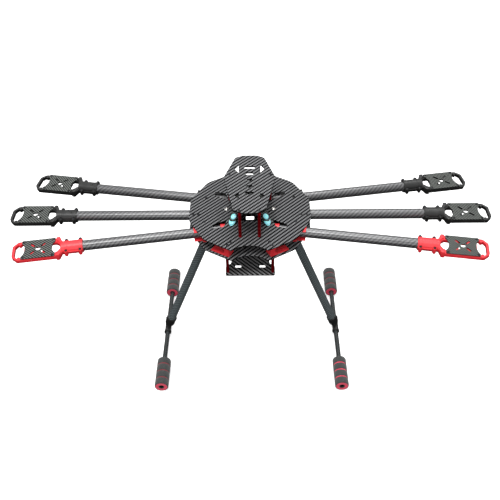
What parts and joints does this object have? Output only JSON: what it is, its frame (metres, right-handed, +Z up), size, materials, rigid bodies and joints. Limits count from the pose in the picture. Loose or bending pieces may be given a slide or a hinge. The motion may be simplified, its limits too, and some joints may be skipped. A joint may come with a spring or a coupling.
{
  "type": "hexacopter drone frame",
  "caption": "Multirotor airframe with swinging carbon arms between two round plates, a raised deck, a hung battery tray and tall skid legs.",
  "frame": {"origin": "on the ground, under the middle of the centre plates", "axes": "+Z up, +X to the right seen from behind the nose, +Y to the rear; the red arms are at the front"},
  "size_m": [0.946, 0.345, 0.4303],
  "materials": {
    "carbon_plate": "satin twill carbon fibre plate",
    "carbon_tube": "glossy twill carbon fibre tube",
    "red_plastic": "satin moulded plastic",
    "black_plastic": "satin moulded plastic",
    "red_anodised": "anodised",
    "damping_rubber": "soft translucent silicone rubber",
    "grey_foam": "closed-cell foam with red bands"
  },
  "bodies": {
    "frame": {"top_plate": "carbon_plate", "lower_plate": "carbon_plate", "upper_deck": "carbon_plate", "battery_tray": "carbon_plate", "controller_plate": "carbon_plate", "front_left_deck_standoff": "red_anodised", "front_left_damping_ball": "damping_rubber", "front_left_foam": "grey_foam", "front_right_deck_standoff": "red_anodised", "front_right_damping_ball": "damping_rubber", "front_right_foam": "grey_foam", "rear_left_deck_standoff": "red_anodised", "rear_left_damping_ball": "damping_rubber", "rear_left_foam": "grey_foam", "rear_right_deck_standoff": "red_anodised", "rear_right_damping_ball": "damping_rubber", "rear_right_foam": "grey_foam", "left_leg_socket": "black_plastic", "left_leg_tube": "carbon_tube", "left_skid_tee": "black_plastic", "left_skid_tube": "carbon_tube", "right_leg_socket": "black_plastic", "right_leg_tube": "carbon_tube", "right_skid_tee": "black_plastic", "right_skid_tube": "carbon_tube", "front_left_flight_clip": "red_plastic", "front_left_stowed_clip": "red_plastic", "middle_left_flight_clip": "black_plastic", "rear_left_flight_clip": "black_plastic", "rear_left_stowed_clip": "black_plastic", "front_right_flight_clip": "red_plastic", "front_right_stowed_clip": "red_plastic", "middle_right_flight_clip": "black_plastic", "rear_right_flight_clip": "black_plastic", "rear_right_stowed_clip": "black_plastic"},
    "front_left_arm": {"front_left_arm_tube": "carbon_tube", "front_left_pivot_sleeve": "red_plastic", "front_left_motor_mount": "red_plastic", "front_left_motor_plate": "carbon_plate"},
    "middle_left_arm": {"middle_left_arm_tube": "carbon_tube", "middle_left_pivot_sleeve": "black_plastic", "middle_left_motor_mount": "black_plastic", "middle_left_motor_plate": "carbon_plate"},
    "rear_left_arm": {"rear_left_arm_tube": "carbon_tube", "rear_left_pivot_sleeve": "black_plastic", "rear_left_motor_mount": "black_plastic", "rear_left_motor_plate": "carbon_plate"},
    "front_right_arm": {"front_right_arm_tube": "carbon_tube", "front_right_pivot_sleeve": "red_plastic", "front_right_motor_mount": "red_plastic", "front_right_motor_plate": "carbon_plate"},
    "middle_right_arm": {"middle_right_arm_tube": "carbon_tube", "middle_right_pivot_sleeve": "black_plastic", "middle_right_motor_mount": "black_plastic", "middle_right_motor_plate": "carbon_plate"},
    "rear_right_arm": {"rear_right_arm_tube": "carbon_tube", "rear_right_pivot_sleeve": "black_plastic", "rear_right_motor_mount": "black_plastic", "rear_right_motor_plate": "carbon_plate"}
  },
  "joints": [
    {"name": "front_left_arm_swing", "type": "hinge", "parent": "frame", "child": "front_left_arm", "pos_m": [-0.023, -0.03984, 0.351], "axis": [0, 0, 1], "range_deg": [0, 51]},
    {"name": "middle_left_arm_swing", "type": "hinge", "parent": "frame", "child": "middle_left_arm", "pos_m": [-0.046, 0, 0.351], "axis": [0, 0, 1], "range_deg": [-6, 0]},
    {"name": "rear_left_arm_swing", "type": "hinge", "parent": "frame", "child": "rear_left_arm", "pos_m": [-0.023, 0.03984, 0.351], "axis": [0, 0, -1], "range_deg": [0, 51]},
    {"name": "front_right_arm_swing", "type": "hinge", "parent": "frame", "child": "front_right_arm", "pos_m": [0.023, -0.03984, 0.351], "axis": [0, 0, -1], "range_deg": [0, 51]},
    {"name": "middle_right_arm_swing", "type": "hinge", "parent": "frame", "child": "middle_right_arm", "pos_m": [0.046, 0, 0.351], "axis": [0, 0, -1], "range_deg": [-6, 0]},
    {"name": "rear_right_arm_swing", "type": "hinge", "parent": "frame", "child": "rear_right_arm", "pos_m": [0.023, 0.03984, 0.351], "axis": [0, 0, 1], "range_deg": [0, 51]}
  ]
}
